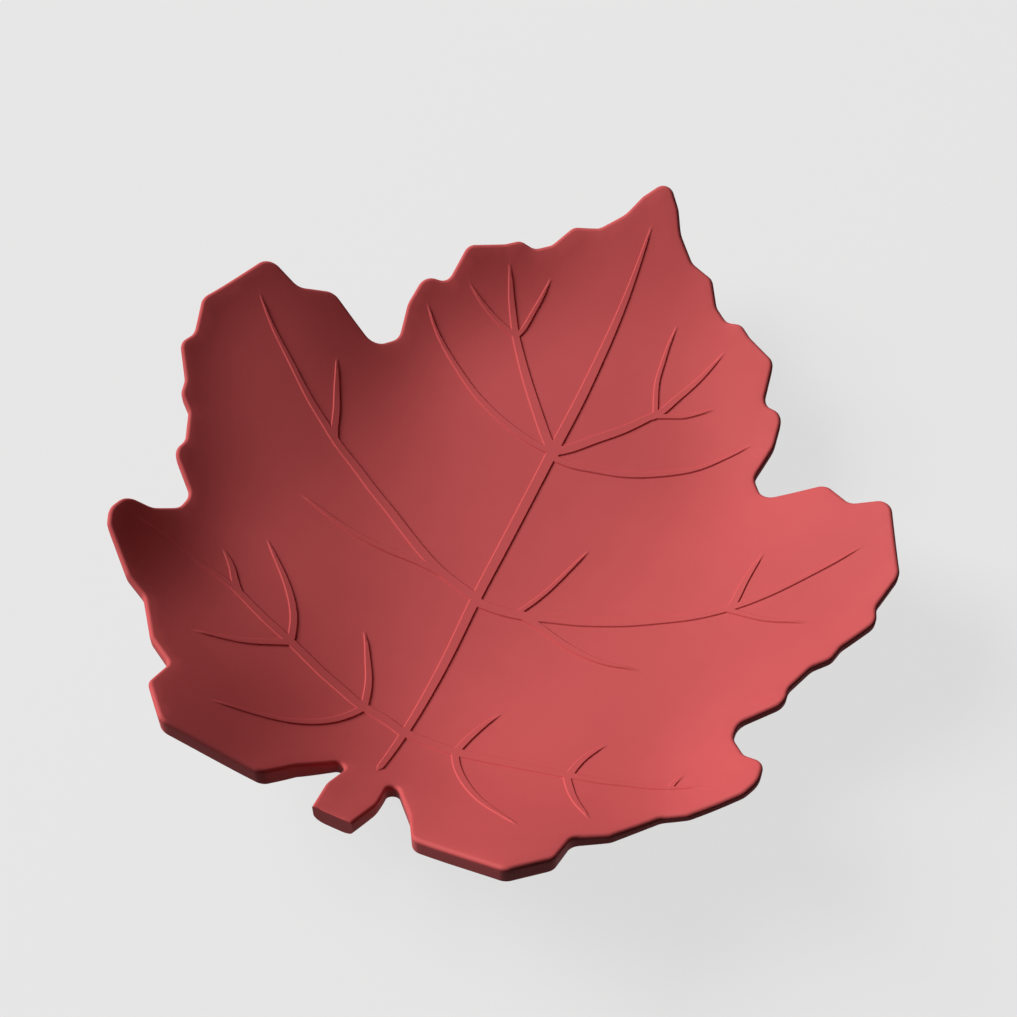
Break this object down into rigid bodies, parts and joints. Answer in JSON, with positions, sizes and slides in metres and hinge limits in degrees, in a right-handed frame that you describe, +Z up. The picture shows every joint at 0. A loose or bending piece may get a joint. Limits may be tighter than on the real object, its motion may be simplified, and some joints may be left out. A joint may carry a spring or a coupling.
{
  "type": "ring dish",
  "caption": "Leaf-shaped shallow trinket bowl with raised veins, a short cut stem and soft stick-on pads, for holding rings and small jewellery.",
  "frame": {"origin": "on the surface that the pads stand on, under the middle of the leaf's bounding box", "axes": "+Z up, +Y along the middle vein towards the leaf's tip, +X to the right seen from above"},
  "size_m": [0.1434, 0.1462, 0.0373],
  "materials": {
    "dish_clay": "matte satin, coloured right through",
    "pad_silicone": "soft translucent grey",
    "adhesive_film": "thin tacky film"
  },
  "bodies": {
    "root": {"leaf_dish": "dish_clay", "foot_pad_1": "pad_silicone", "foot_pad_2": "pad_silicone", "foot_pad_3": "pad_silicone", "pad_adhesive_1": "adhesive_film", "pad_adhesive_2": "adhesive_film", "pad_adhesive_3": "adhesive_film"}
  },
  "joints": []
}
